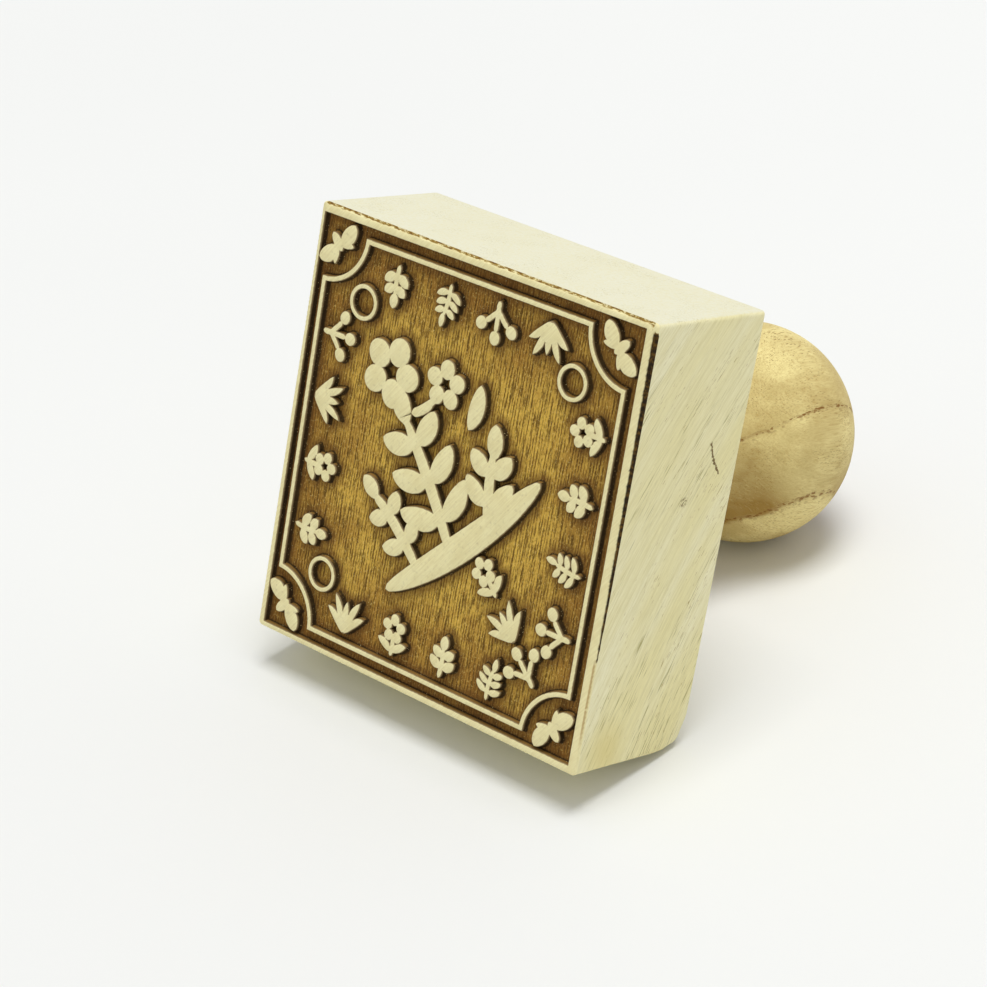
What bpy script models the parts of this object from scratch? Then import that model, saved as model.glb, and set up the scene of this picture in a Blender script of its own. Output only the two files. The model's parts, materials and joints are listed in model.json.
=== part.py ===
"""Wooden hand stamp: an engraved square block, a turned knob handle and the screw between them.

The stamp lies on its side on a table (z = 0), on the lower back edge of its block and on the ball
of its handle, with the engraved face looking forward (-Y) and a little upward.

Everything is drawn in stamp axes, which hang on the empty "stamp_axes": local X runs to the right
across the engraved face, local Y down it, and local Z from the face through the block and along
the handle. The engraved pattern has axes of its own, because it sits slightly askew on the block.
"""

import math

import bmesh
import bpy
from mathutils import Vector
from mathutils.geometry import interpolate_bezier

MM = 0.001

# Block
BLOCK_WIDTH = 58.0 * MM
BLOCK_HEIGHT = 60.3 * MM
BLOCK_DEPTH = 22.3 * MM
HEEL_RADIUS = 2.0 * MM          # rounding of the lower back edge, on which the stamp lies
EDGE_RADIUS = 1.0 * MM
FACE_EDGE_RADIUS = 0.35 * MM
EDGE_SEGMENTS = 4

# Engraving
ENGRAVING_DEPTH = 0.9 * MM
PATTERN_OFFSET = Vector((-0.5, 0.15)) * MM
PATTERN_TURN = math.radians(-0.35)
POCKET_WIDTH = 56.0 * MM
POCKET_HEIGHT = 58.2 * MM
BORDER_WIDTH = 53.0 * MM
BORDER_HEIGHT = 55.0 * MM
BORDER_LINE = 0.68 * MM
BORDER_NOTCH = 6.8 * MM         # radius of the hollow quarter circles at the border's corners
RING_RADIUS = 2.45 * MM
RING_LINE = 0.6 * MM
RING_PLACES = [(-18.6, -19.1), (18.0, -19.1), (-18.6, 19.1)]
SPRIG_RADIUS = 3.0 * MM
SPRIG_ROWS_AT = 22.9 * MM
SPRIG_COLUMNS_AT = 21.9 * MM
TOP_EDGE_STEP = (0.35 * MM, 0.7 * MM)
SIDE_EDGE_STEP = (0.65 * MM, 0.05 * MM)
SIDE_STEP_REACH = (-28.2 * MM, 14.5 * MM)

# Handle
BALL_RADIUS = 16.0 * MM
BALL_END = 15.5 * MM            # half axis of the ball's far half along the handle
BALL_CENTRE = 64.4 * MM         # from the engraved face
FOOT_RADIUS = 10.0 * MM
FOOT_HEIGHT = 2.6 * MM
FOOT_ROUNDING = 0.8 * MM
NECK_RADIUS = 7.3 * MM
NECK_PLACE = 10.0 * MM          # from the handle's foot
SHOULDER_ANGLE = math.radians(126.0)
HANDLE_STEPS = 44

# Screw
THREAD_CREST = 2.5 * MM
THREAD_ROOT = 1.75 * MM
THREAD_PITCH = 2.2 * MM
SCREW_IN_BLOCK = 13.0 * MM
SCREW_IN_HANDLE = 16.0 * MM
PLAIN_MIDDLE = 1.5 * MM
POINT_LENGTH = 3.0 * MM
SCREW_SIDES = 14
SCREW_RING_GAP = 0.55 * MM

GAP = 0.3 * MM                  # clearance kept between neighbouring pieces
OVERCUT = 1.0 * MM              # how far a cutter reaches past the surface that it opens


# ---- Outlines on the face: X to the right, Y down ----

def stroke(root, tip, width, bend=0.0, roundness=0.75, stations=5):
    """Outline of one leaf-like stroke from root to tip, bent sideways by a share of its length."""
    along = tip - root
    across = Vector((-along.y, along.x)).normalized()
    middle = (root + tip) / 2 + across * bend * along.length
    left = []
    right = []
    for k in range(stations + 1):
        t = (1 - math.cos(math.pi * k / stations)) / 2
        centre = root * (1 - t) ** 2 + middle * 2 * t * (1 - t) + tip * t ** 2
        heading = ((middle - root) * (1 - t) + (tip - middle) * t).normalized()
        normal = Vector((-heading.y, heading.x))
        half_width = width / 2 * (4 * t * (1 - t)) ** roundness
        left.append(centre + normal * half_width)
        right.append(centre - normal * half_width)
    return left + right[-2:0:-1]


def polar(radius, degrees):
    """A point at a distance and an angle, which runs clockwise from straight up."""
    angle = math.radians(degrees)
    return Vector((radius * math.sin(angle), -radius * math.cos(angle)))


def circle(centre, radius, count):
    return [centre + polar(radius, 360 * k / count) for k in range(count)]


def rectangle(low, high):
    return [Vector(low), Vector((high[0], low[1])), Vector(high), Vector((low[0], high[1]))]


def notched_rectangle(width, height, notch, inset, count=9):
    """A rectangle with a hollow quarter circle at each corner, moved inward by inset."""
    radius = notch + inset
    spare = math.asin(inset / radius)
    outline = []
    for side_x, side_y in ((1, 1), (-1, 1), (-1, -1), (1, -1)):
        corner = Vector((side_x * width / 2, side_y * height / 2))
        arc = []
        for k in range(count):
            angle = spare + (math.pi / 2 - 2 * spare) * k / (count - 1)
            arc.append(corner - Vector((side_x * math.sin(angle), side_y * math.cos(angle))) * radius)
        outline += arc if side_x == side_y else arc[::-1]
    return outline


# ---- Plant motifs: each is a list of strokes, in units of the motif's own size ----

def branch(root, tip, width, pairs, leaf_length, leaf_width, spread, bend=0.1, stations=5):
    """A stem with pairs of leaves, which shorten towards its tip, and one leaf at the tip."""
    along = (tip - root).normalized()
    across = Vector((-along.y, along.x))
    strokes = [stroke(root, tip, width, bend, 0.3, stations + 1)]
    for k in range(pairs):
        share = (k + 1) / (pairs + 0.8)
        lift = across * bend * 2 * share * (1 - share) * (tip - root).length
        foot = root.lerp(tip, share) + lift
        length = leaf_length * (1 - 0.35 * share)
        for side in (-1, 1):
            angle = math.radians(spread)
            reach = along * math.cos(angle) + across * side * math.sin(angle)
            strokes.append(stroke(foot, foot + reach * length, leaf_width, side * 0.16, 0.7, stations))
    strokes.append(stroke(tip - along * leaf_length * 0.2, tip + along * leaf_length * 0.6,
                          leaf_width, 0.05, 0.7, stations))
    return strokes


def blossom(centre, radius, petals, turn, stations=5):
    """Round petals about a centre that stays open."""
    strokes = []
    for k in range(petals):
        angle = turn + 360 * k / petals
        strokes.append(stroke(centre + polar(radius * 0.2, angle), centre + polar(radius, angle),
                              radius * 0.74, 0.0, 0.5, stations))
    return strokes


def leafy_sprig():
    return branch(Vector((0, 0.95)), Vector((0.05, -0.5)), 0.28, 2, 0.92, 0.5, 60, 0.08)


def fern_sprig():
    return branch(Vector((-0.1, 0.95)), Vector((0.1, -0.55)), 0.25, 3, 0.86, 0.33, 66, -0.1)


def blossom_sprig():
    stem = stroke(Vector((0, 0.98)), Vector((0, -0.1)), 0.28, 0.12, 0.3)
    leaves = [stroke(Vector((0.02, 0.8)), Vector((side * 0.85, 0.3)), 0.42, side * -0.15) for side in (-1, 1)]
    return [stem] + leaves + blossom(Vector((0, -0.3)), 0.7, 5, 0)


def grass_sprig():
    blades = []
    for k in range(5):
        angle = -50 + 25 * k
        tip = Vector((0, 0.9)) + polar(1.45 + 0.35 * (k % 2), angle)
        blades.append(stroke(Vector((0.03 * (k - 2), 0.95)), tip, 0.38, -0.0035 * angle))
    return blades


def bud_sprig():
    fork = Vector((0, 0.35))
    strokes = [stroke(Vector((0, 1.0)), fork - Vector((0, 0.05)), 0.28, 0.05, 0.3)]
    for k in range(3):
        angle = -58 + 58 * k
        head = fork + polar(0.78, angle)
        strokes.append(stroke(Vector((0, 0.6)), head, 0.26, 0.1 * (1 - k), 0.3))
        strokes.append(stroke(fork + polar(0.68, angle), head + polar(0.55, angle), 0.58, 0.0, 0.5))
    return strokes


def sprig_places():
    """Centre and direction of growth of each small sprig; those at the edges grow inward."""
    places = []
    for k in range(4):
        share = (k - 1.5) / 1.5
        places.append((Vector((13.2 * MM * share, -SPRIG_ROWS_AT)), 180))
        places.append((Vector((SPRIG_COLUMNS_AT, 13.4 * MM * share)), 270))
        places.append((Vector((13.2 * MM * share, SPRIG_ROWS_AT)), 0))
        places.append((Vector((-SPRIG_COLUMNS_AT, 13.6 * MM * share)), 90))
    for k in range(3):
        places.append((Vector((9.7 + 4.2 * k, 9.9 + 4.7 * k)) * MM, 315))
    return places


def centre_strokes():
    """The large flowering branch in the middle of the face, in millimetres."""
    def at(x, y):
        return Vector((x, y))
    strokes = [stroke(at(15.8, -5.0), at(-7.0, 17.2), 4.0, -0.07, 0.5, 14)]
    strokes += branch(at(3.4, 9.6), at(-8.6, -6.6), 1.9, 3, 8.0, 3.2, 60, 0.05, 7)
    strokes += branch(at(8.6, 4.6), at(7.4, -6.6), 1.7, 2, 6.0, 2.7, 48, -0.06, 6)
    strokes += branch(at(-1.6, 13.4), at(-11.6, 5.2), 1.7, 2, 4.8, 2.4, 62, 0.08, 6)
    strokes += blossom(at(-12.0, -11.6), 5.0, 5, 20, 7)
    strokes += blossom(at(-2.4, -12.6), 3.4, 5, 0, 6)
    strokes.append(stroke(at(-7.4, -7.2), at(-3.6, -10.4), 1.4, 0.15, 0.3, 5))
    strokes.append(stroke(at(2.6, -8.0), at(3.6, -14.4), 2.6, 0.12, 0.7, 6))
    return strokes


def corner_strokes():
    """Two leaves in a line with a bud between them, in millimetres; the bud points straight up."""
    strokes = [stroke(Vector((0, 1.3)), Vector((0, -1.7)), 1.5, 0.0, 0.6, 6)]
    for side in (-1, 1):
        strokes.append(stroke(Vector((side * 0.2, 0.5)), Vector((side * 4.0, -0.3)), 2.3, side * 0.12,
                              0.6, 6))
        strokes.append(stroke(Vector((0, 0.2)), Vector((side * 2.1, 2.0)), 1.1, side * -0.1, 0.7, 5))
    return strokes


def turned(outline, degrees, scale, centre):
    """An outline turned clockwise, scaled and moved to its place."""
    angle = math.radians(degrees)
    cosine = math.cos(angle)
    sine = math.sin(angle)
    return [centre + Vector((p.x * cosine - p.y * sine, p.x * sine + p.y * cosine)) * scale
            for p in outline]


# ---- Building blocks ----

def clear_scene():
    for item in list(bpy.data.objects):
        bpy.data.objects.remove(item, do_unlink=True)


def new_collection(name, parent=None):
    collection = bpy.data.collections.new(name)
    (parent or bpy.context.scene.collection).children.link(collection)
    return collection


def new_empty(name, collection, parent=None):
    empty = bpy.data.objects.new(name, None)
    empty.empty_display_size = 0.02
    empty.parent = parent
    collection.objects.link(empty)
    return empty


def new_object(name, mesh, collection, parent):
    item = bpy.data.objects.new(name, mesh)
    item.parent = parent
    collection.objects.link(item)
    return item


def mesh_from_bmesh(name, bm):
    mesh = bpy.data.meshes.new(name)
    bm.to_mesh(mesh)
    bm.free()
    return mesh


def as_cutter(item):
    item.hide_render = True
    item.display_type = "WIRE"
    return item


def prism(name, outlines, low, high, collection, parent):
    """A straight-sided cutter between two depths; an outline inside another one is a hole."""
    curve = bpy.data.curves.new(name, "CURVE")
    curve.dimensions = "2D"
    curve.fill_mode = "BOTH"
    curve.extrude = (high - low) / 2
    for outline in outlines:
        spline = curve.splines.new("POLY")
        spline.points.add(len(outline) - 1)
        for point, place in zip(spline.points, outline):
            point.co = (place.x, place.y, 0.0, 1.0)
        spline.use_cyclic_u = True
    drawn = new_object(name, curve, collection, parent)
    drawn.location.z = (low + high) / 2
    bpy.context.view_layer.update()
    mesh = bpy.data.meshes.new_from_object(drawn.evaluated_get(bpy.context.evaluated_depsgraph_get()))
    place = drawn.matrix_world.copy()
    bpy.data.objects.remove(drawn, do_unlink=True)
    bm = bmesh.new()
    bm.from_mesh(mesh)
    bmesh.ops.remove_doubles(bm, verts=bm.verts, dist=0.001 * MM)
    bm.to_mesh(mesh)
    bm.free()
    cutter = as_cutter(new_object(name, mesh, collection, parent))
    cutter.matrix_world = place
    return cutter


def cylinder(name, radius, low, high, collection, parent, sides=24):
    bm = bmesh.new()
    bmesh.ops.create_cone(bm, cap_ends=True, segments=sides, radius1=radius, radius2=radius,
                          depth=high - low)
    item = as_cutter(new_object(name, mesh_from_bmesh(name, bm), collection, parent))
    item.location.z = (low + high) / 2
    return item


def subtract(item, cutter=None, collection=None):
    boolean = item.modifiers.new("cut", "BOOLEAN")
    boolean.operation = "DIFFERENCE"
    boolean.solver = "EXACT"
    if collection:
        boolean.operand_type = "COLLECTION"
        boolean.collection = collection
    else:
        boolean.object = cutter


def give_material(item, name, colour, roughness, metallic=0.0):
    material = bpy.data.materials.new(name)
    material.use_nodes = True
    shader = material.node_tree.nodes["Principled BSDF"]
    shader.inputs["Base Color"].default_value = (*colour, 1.0)
    shader.inputs["Roughness"].default_value = roughness
    shader.inputs["Metallic"].default_value = metallic
    item.data.materials.append(material)


# ---- Pieces ----

def make_block(parts, cutters, axes):
    """Rounded wooden block whose face is engraved, leaving the pattern standing."""
    bm = bmesh.new()
    bmesh.ops.create_cube(bm, size=1.0)
    bmesh.ops.scale(bm, vec=(BLOCK_WIDTH, BLOCK_HEIGHT, BLOCK_DEPTH), verts=bm.verts)
    weight = bm.edges.layers.float.new("bevel_weight_edge")
    for edge in bm.edges:
        radius = EDGE_RADIUS
        if all(vert.co.z < 0 for vert in edge.verts):
            radius = FACE_EDGE_RADIUS
        elif all(vert.co.z > 0 and vert.co.y > 0 for vert in edge.verts):
            radius = HEEL_RADIUS
        edge[weight] = radius / HEEL_RADIUS
    block = new_object("stamp_block", mesh_from_bmesh("stamp_block", bm), parts, axes)
    block.location.z = BLOCK_DEPTH / 2
    rounding = block.modifiers.new("rounded_edges", "BEVEL")
    rounding.limit_method = "WEIGHT"
    rounding.width = HEEL_RADIUS
    rounding.segments = EDGE_SEGMENTS
    give_material(block, "block_wood", (0.72, 0.66, 0.46), 0.62)
    subtract(block, make_engraving(cutters, axes))
    for step in make_edge_steps(cutters, axes):
        subtract(block, step)
    bore_bottom = BLOCK_DEPTH - SCREW_IN_BLOCK - GAP
    subtract(block, cylinder("block_bore", THREAD_CREST + GAP, bore_bottom, BLOCK_DEPTH + OVERCUT,
                             cutters, axes))
    return block


def make_engraving(cutters, axes):
    """The wood that the engraving takes away: a shallow slab less the raised pattern."""
    pattern_axes = new_empty("pattern_axes", cutters, axes)
    pattern_axes.location = (PATTERN_OFFSET.x, PATTERN_OFFSET.y, 0.0)
    pattern_axes.rotation_euler.z = PATTERN_TURN
    pattern = new_collection("raised_pattern", cutters)
    low = -2 * OVERCUT
    high = ENGRAVING_DEPTH + OVERCUT

    def raise_up(name, outlines):
        prism(name, outlines, low, high, pattern, pattern_axes)

    raise_up("border", [notched_rectangle(BORDER_WIDTH, BORDER_HEIGHT, BORDER_NOTCH, 0.0),
                        notched_rectangle(BORDER_WIDTH, BORDER_HEIGHT, BORDER_NOTCH, BORDER_LINE)])
    for number, place in enumerate(RING_PLACES, 1):
        centre = Vector(place) * MM
        raise_up(f"ring_{number}", [circle(centre, RING_RADIUS, 24),
                                    circle(centre, RING_RADIUS - RING_LINE, 24)])
    designs = [leafy_sprig, blossom_sprig, grass_sprig, bud_sprig, fern_sprig]
    for number, (centre, growth) in enumerate(sprig_places()):
        for part_number, outline in enumerate(designs[number % len(designs)]()):
            raise_up(f"sprig_{number}_{part_number}", [turned(outline, growth, SPRIG_RADIUS, centre)])
    for number, outline in enumerate(centre_strokes()):
        raise_up(f"centre_{number}", [turned(outline, 0, MM, Vector((0, 0)))])
    corner_reach = Vector((BORDER_WIDTH / 2 - 1.9 * MM, BORDER_HEIGHT / 2 - 1.9 * MM))
    for turn, side_x, side_y in ((45, 1, -1), (135, 1, 1), (225, -1, 1), (315, -1, -1)):
        centre = Vector((side_x * corner_reach.x, side_y * corner_reach.y))
        for part_number, outline in enumerate(corner_strokes()):
            raise_up(f"corner_{turn}_{part_number}", [turned(outline, turn, MM, centre)])

    pocket = rectangle((-POCKET_WIDTH / 2, -POCKET_HEIGHT / 2), (POCKET_WIDTH / 2, POCKET_HEIGHT / 2))
    slab = prism("engraving", [pocket], -OVERCUT, ENGRAVING_DEPTH, cutters, pattern_axes)
    subtract(slab, collection=pattern)
    return slab


def make_edge_steps(cutters, axes):
    """Shallow steps where the engraving ran out over the block's top and right edges."""
    half_width = BLOCK_WIDTH / 2
    half_height = BLOCK_HEIGHT / 2
    step_width, step_depth = TOP_EDGE_STEP
    top = prism("top_edge_step",
                [rectangle((EDGE_RADIUS - half_width, -half_height - OVERCUT),
                           (half_width - EDGE_RADIUS, step_width - half_height))],
                -OVERCUT, step_depth, cutters, axes)
    wide, narrow = SIDE_EDGE_STEP
    start, end = SIDE_STEP_REACH
    wedge = [Vector((half_width - wide, start)), Vector((half_width + OVERCUT, start)),
             Vector((half_width + OVERCUT, end)), Vector((half_width - narrow, end))]
    side = prism("side_edge_step", [wedge], -OVERCUT, ENGRAVING_DEPTH, cutters, axes)
    return [top, side]


def handle_profile():
    """Radius and height above the foot, from the middle of the foot to the ball's far end."""
    centre = BALL_CENTRE - BLOCK_DEPTH
    profile = [(0.0, GAP)]
    for k in range(4):
        angle = math.pi / 2 * k / 3
        profile.append((FOOT_RADIUS - FOOT_ROUNDING * (1 - math.sin(angle)),
                        GAP + FOOT_ROUNDING * (1 - math.cos(angle))))
    foot_top = Vector((FOOT_RADIUS, FOOT_HEIGHT))
    neck = Vector((NECK_RADIUS, NECK_PLACE))
    cove = interpolate_bezier(foot_top, foot_top + Vector((-0.4, 1.8)) * MM,
                              neck - Vector((0, 3.6 * MM)), neck, 7)
    shoulder = Vector((BALL_RADIUS * math.sin(SHOULDER_ANGLE),
                       centre + BALL_RADIUS * math.cos(SHOULDER_ANGLE)))
    slope = Vector((-math.cos(SHOULDER_ANGLE), math.sin(SHOULDER_ANGLE)))
    flare = interpolate_bezier(neck, neck + Vector((0, 9.0 * MM)), shoulder - slope * 8.0 * MM,
                               shoulder, 10)
    profile += [tuple(point) for point in cove] + [tuple(point) for point in flare[1:]]
    ball_steps = 18
    for k in range(1, ball_steps + 1):
        angle = SHOULDER_ANGLE * (1 - k / ball_steps)
        half_axis = BALL_END if angle < math.pi / 2 else BALL_RADIUS
        profile.append((BALL_RADIUS * math.sin(angle), centre + half_axis * math.cos(angle)))
    profile[-1] = (0.0, centre + BALL_END)
    return profile


def make_handle(parts, cutters, axes):
    """Turned knob: a flared foot, a neck, and a ball to press on."""
    bm = bmesh.new()
    # The profile starts at the far end, so that it runs down the outer side of the turning.
    verts = [bm.verts.new((radius, 0.0, height)) for radius, height in reversed(handle_profile())]
    for first, second in zip(verts, verts[1:]):
        bm.edges.new((first, second))
    handle = new_object("handle", mesh_from_bmesh("handle", bm), parts, axes)
    handle.location.z = BLOCK_DEPTH
    turning = handle.modifiers.new("turning", "SCREW")
    turning.steps = HANDLE_STEPS
    turning.render_steps = HANDLE_STEPS
    turning.use_merge_vertices = True
    turning.merge_threshold = 0.00001
    turning.use_smooth_shade = True
    give_material(handle, "handle_wood", (0.62, 0.46, 0.23), 0.58)
    subtract(handle, cylinder("handle_bore", THREAD_CREST + GAP, BLOCK_DEPTH - OVERCUT,
                              BLOCK_DEPTH + SCREW_IN_HANDLE + GAP, cutters, axes))
    return handle


def thread_radius(along, angle):
    """Radius of the screw at a place along it, measured from its middle."""
    reach = SCREW_IN_HANDLE if along > 0 else SCREW_IN_BLOCK
    to_tip = reach - abs(along)
    crest = (math.cos(2 * math.pi * along / THREAD_PITCH - angle) + 1) / 2
    ridge = (THREAD_CREST - THREAD_ROOT) * crest ** 2
    if abs(along) < PLAIN_MIDDLE:
        ridge = 0.0
    return (THREAD_ROOT + ridge) * min(1.0, 0.12 + to_tip / POINT_LENGTH)


def make_screw(parts, axes):
    """Double-ended wood screw, threaded and pointed at both ends."""
    length = SCREW_IN_BLOCK + SCREW_IN_HANDLE
    rings = round(length / SCREW_RING_GAP)
    bm = bmesh.new()
    loops = []
    for ring in range(rings + 1):
        along = -SCREW_IN_BLOCK + length * ring / rings
        loop = []
        for side in range(SCREW_SIDES):
            angle = 2 * math.pi * side / SCREW_SIDES
            radius = thread_radius(along, angle)
            loop.append(bm.verts.new((radius * math.cos(angle), radius * math.sin(angle), along)))
        loops.append(loop)
    for lower, upper in zip(loops, loops[1:]):
        for side in range(SCREW_SIDES):
            after = (side + 1) % SCREW_SIDES
            bm.faces.new((lower[side], lower[after], upper[after], upper[side]))
    bm.faces.new(loops[0][::-1])
    bm.faces.new(loops[-1])
    screw = new_object("dowel_screw", mesh_from_bmesh("dowel_screw", bm), parts, axes)
    screw.location.z = BLOCK_DEPTH
    give_material(screw, "screw_steel", (0.55, 0.54, 0.52), 0.35, 1.0)
    return screw


# ---- Pose ----

def resting_tilt():
    """Tilt of the stamp when its lower back edge and the ball of its handle touch the table."""
    down = BLOCK_HEIGHT / 2 - HEEL_RADIUS
    along = BALL_CENTRE - BLOCK_DEPTH + HEEL_RADIUS
    tilt = 0.0
    for _ in range(20):
        ball_reach = math.hypot(BALL_RADIUS * math.cos(tilt), BALL_END * math.sin(tilt))
        tilt = math.acos((ball_reach - HEEL_RADIUS) / math.hypot(down, along)) - math.atan2(along, down)
    return tilt


def stand_on_origin(axes, pieces):
    """Moves the stamp so that the middle of its bounding box's underside is the origin."""
    bpy.context.view_layer.update()
    depsgraph = bpy.context.evaluated_depsgraph_get()
    places = []
    for piece in pieces:
        evaluated = piece.evaluated_get(depsgraph)
        places += [evaluated.matrix_world @ vert.co for vert in evaluated.data.vertices]
    low = Vector([min(place[axis] for place in places) for axis in range(3)])
    high = Vector([max(place[axis] for place in places) for axis in range(3)])
    axes.location -= Vector(((low.x + high.x) / 2, (low.y + high.y) / 2, low.z))


def main():
    clear_scene()
    parts = new_collection("wooden_hand_stamp")
    cutters = new_collection("cutters")
    axes = new_empty("stamp_axes", parts)
    axes.rotation_euler.x = -math.pi / 2 - resting_tilt()
    bpy.context.view_layer.update()
    pieces = [make_block(parts, cutters, axes),
              make_handle(parts, cutters, axes),
              make_screw(parts, axes)]
    for piece in pieces[1:]:
        piece.data.shade_smooth()
    stand_on_origin(axes, pieces)


main()
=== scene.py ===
"""Looks of the wooden hand stamp: engraved block, turned handle, inner screw, floor, light, camera.

Shapes are worked out in stamp axes, in millimetres: u runs to the right across the engraved face,
v down it, and w from the face through the block and along the handle. The engraving's outlines are
read from the CAD block's face; this script rounds them off, slopes and scorches the walls, paints
light and shade on the walls and shade on the ground at their foot, roughens the ground, and turns
the handle again on a finer profile.
"""

import json
import math

import bmesh
import bpy
import numpy as np
from mathutils import Euler, Matrix, Vector, noise
from mathutils.geometry import delaunay_2d_cdt, interpolate_bezier
from mathutils.kdtree import KDTree


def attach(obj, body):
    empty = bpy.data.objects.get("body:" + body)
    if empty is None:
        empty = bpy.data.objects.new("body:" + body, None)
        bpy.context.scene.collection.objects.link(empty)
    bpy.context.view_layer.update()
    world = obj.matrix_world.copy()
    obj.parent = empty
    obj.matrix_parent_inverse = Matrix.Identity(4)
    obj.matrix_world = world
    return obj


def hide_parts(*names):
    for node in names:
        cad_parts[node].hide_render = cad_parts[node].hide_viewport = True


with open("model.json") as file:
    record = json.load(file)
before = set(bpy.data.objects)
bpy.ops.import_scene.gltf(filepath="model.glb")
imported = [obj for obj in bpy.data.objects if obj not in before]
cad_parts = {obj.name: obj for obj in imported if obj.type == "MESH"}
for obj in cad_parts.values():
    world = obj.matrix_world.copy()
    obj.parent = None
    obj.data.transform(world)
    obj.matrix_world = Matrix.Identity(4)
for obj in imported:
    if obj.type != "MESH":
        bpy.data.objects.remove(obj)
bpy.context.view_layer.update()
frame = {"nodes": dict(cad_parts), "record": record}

# A millimetre in metres, and a length that is as good as none
MM = 0.001
TINY = 1e-9

# Block, in millimetres; the block's own size is read from the frame
GAP = 0.3
CORNER_RADIUS = 0.6
HEEL_RADIUS = 2.0
HEEL_FULL = 1.5
HEEL_REACH = 5.0
FACE_ROUNDING = 0.25
TOP_STEP_WIDTH = 0.33
TOP_STEP_DEPTH = 0.4
TOP_STEP_INSET = 1.2
SIDE_STEP_WIDTH = 0.66
SIDE_STEP_END_WIDTH = 0.08
SIDE_STEP_DEPTH = 0.5
SIDE_STEP_TOP = 29.0
SIDE_STEP_BOTTOM = -14.5
# Distances of the mesh's lines from the block's edges, closer together near them
END_STATIONS = (0.0, 0.2, 0.4, 0.6, 0.8, 1.0, 1.25, 1.6, 2.0)
STATION_SPACING = 0.7
SIDE_LOOP = 2.0
SIDE_LOOP_SHARES = (0.03, 0.35, 0.7, 1.0)
BACK_LOOP = 4.0
PLAIN_LOOPS = 9
BACK_STATIONS = (0.25, 0.5, 0.8, 1.1, 1.5, 1.9, 2.4, 3.2)
RIM_STATIONS = (0.03, 0.1, 0.2, 0.36)

# Engraving
POCKET_SIZE = (55.75, 58.2)
POCKET_OFFSET = (-0.38, 0.15)
POCKET_TURN = math.radians(-0.35)
OUTLINE_SPACING = 0.2
CORNER_ANGLE = math.radians(47)
# A wall's section: how far out its lip starts and how far it drops, and where the wall is halfway
# down, at its foot and at the end of its fillet
LIP_REACH = 0.1
LIP_DROP = 0.045
WALL_RUN = 0.16
WALL_HALFWAY = 0.4 * WALL_RUN
FILLET_RUN = 2.2 * WALL_RUN
RASTER_PITCH = 0.46
RASTER_DEPTH = 0.035
WALL_SPACING = 0.11
FILLET_SPACING = 0.2
GROUND_START = 2.6 * WALL_RUN
GROUND_SPACING = 0.6
STEP_SPACING = 0.25
EDGE_SPACING = 0.05
# Nearer than this to an outline, the outline's own direction decides which side is ground
BESIDE_OUTLINE = 0.12
# Places nearer than these to an outline, or to the face's edge, are left to its own points
CLEAR_OF_OUTLINE = 0.09
CLEAR_OF_EDGE = 0.45
# The wall distance that every place outside the face is given
NOT_ENGRAVED = -9.0

# Handle, placed along w
HANDLE_SIDES = 160
BORE_RADIUS = 2.8
BORE_SIDES = 48
FOOT_RADIUS = 10.0
FOOT_ROUNDING = 0.8
FOOT_HEIGHT = 2.6
NECK_RADIUS = 7.3
NECK_PLACE = 10.0
SHOULDER_ANGLE = math.radians(126)
# How far the outline's two curves, foot to neck and neck to ball, are pulled along their ends
FOOT_PULL = (-0.4, 1.8)
COVE_PULL = (0, 3.6)
FLARE_PULL = (0, 9.0)
SHOULDER_PULL = 8.0
ROUNDING_STEPS = 8
COVE_STEPS = 24
FLARE_STEPS = 36
BALL_RADIUS = 16.0
BALL_END = 15.5
BALL_CENTRE = 64.4
BALL_STEPS = 72
TURNING_DENT = 0.025

# Directions of the block's fibres, which lean further back higher up, and of its face's sanding
BLOCK_FIBRE = Vector((0.04, -0.94, 0.34)).normalized()
FIBRE_LEAN = 0.0035
SANDING = Vector((0.6, -0.8, 0)).normalized()

# The handle's growth rings about their pith, placed by u and v
RING_PITH = (-9.7, -23.7)
RING_GAP = 9.6
RING_START = 27.7 - 2 * RING_GAP
RING_MIDDLE = 32.0
INNER_RING = RING_START + 1.3 * RING_GAP
OUTER_RING = RING_START + 3 * RING_GAP

# Marks on the block's right side, placed by w and v
CRACK_START = (15.65, -13.3)
CRACK_END = (18.75, -8.5)
CRACK_BOW = 0.35
CRACK_WIDTH = 0.17
KNOT_PLACE = (12.2, -5.5)
KNOT_SIZE = (0.7, 0.6)
STAIN_PLACE = (5.5, 27.5)
STAIN_SIZE = (2.5, 3.0)

# The burnt line under the side step, and how far from a wall the ground is browned and darkened, by
# scorch and soot and by painted shade
HAIRLINE_INSET = 0.18
HAIRLINE_END = 27.0
BROWNED_AND_SHADED_REACH = (1.7, 0.3)
SOOT_AND_SHADE_REACH = (0.42, 0.16)

# Floor and light, in metres and watts; the lamp is a long soft strip overhead
FLOOR_SIZE = 6.0
LAMP_PLACE = (0.25, 0.35, 4.0)
LAMP_SIZE = (1.6, 2.4)
LAMP_POWER = 107.0
SKY_LOW = 0.55
SKY_HIGH = 0.5

# Camera, in degrees and millimetres from the middle of the table under the stamp
CAMERA_AZIMUTH = 43.73
CAMERA_ELEVATION = 29.96
CAMERA_ROLL = -2.35
CAMERA_DISTANCE = 460.8
CAMERA_AIM = (-8.8, -16.2, 22.0)
CAMERA_LENS = 122.86


def tone(red, green, blue):
    """A colour given in sRGB from 0 to 255, as the linear values that a shader takes."""
    def linear(value):
        value /= 255
        return value / 12.92 if value <= 0.04045 else ((value + 0.055) / 1.055) ** 2.4

    return (linear(red), linear(green), linear(blue), 1.0)


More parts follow.
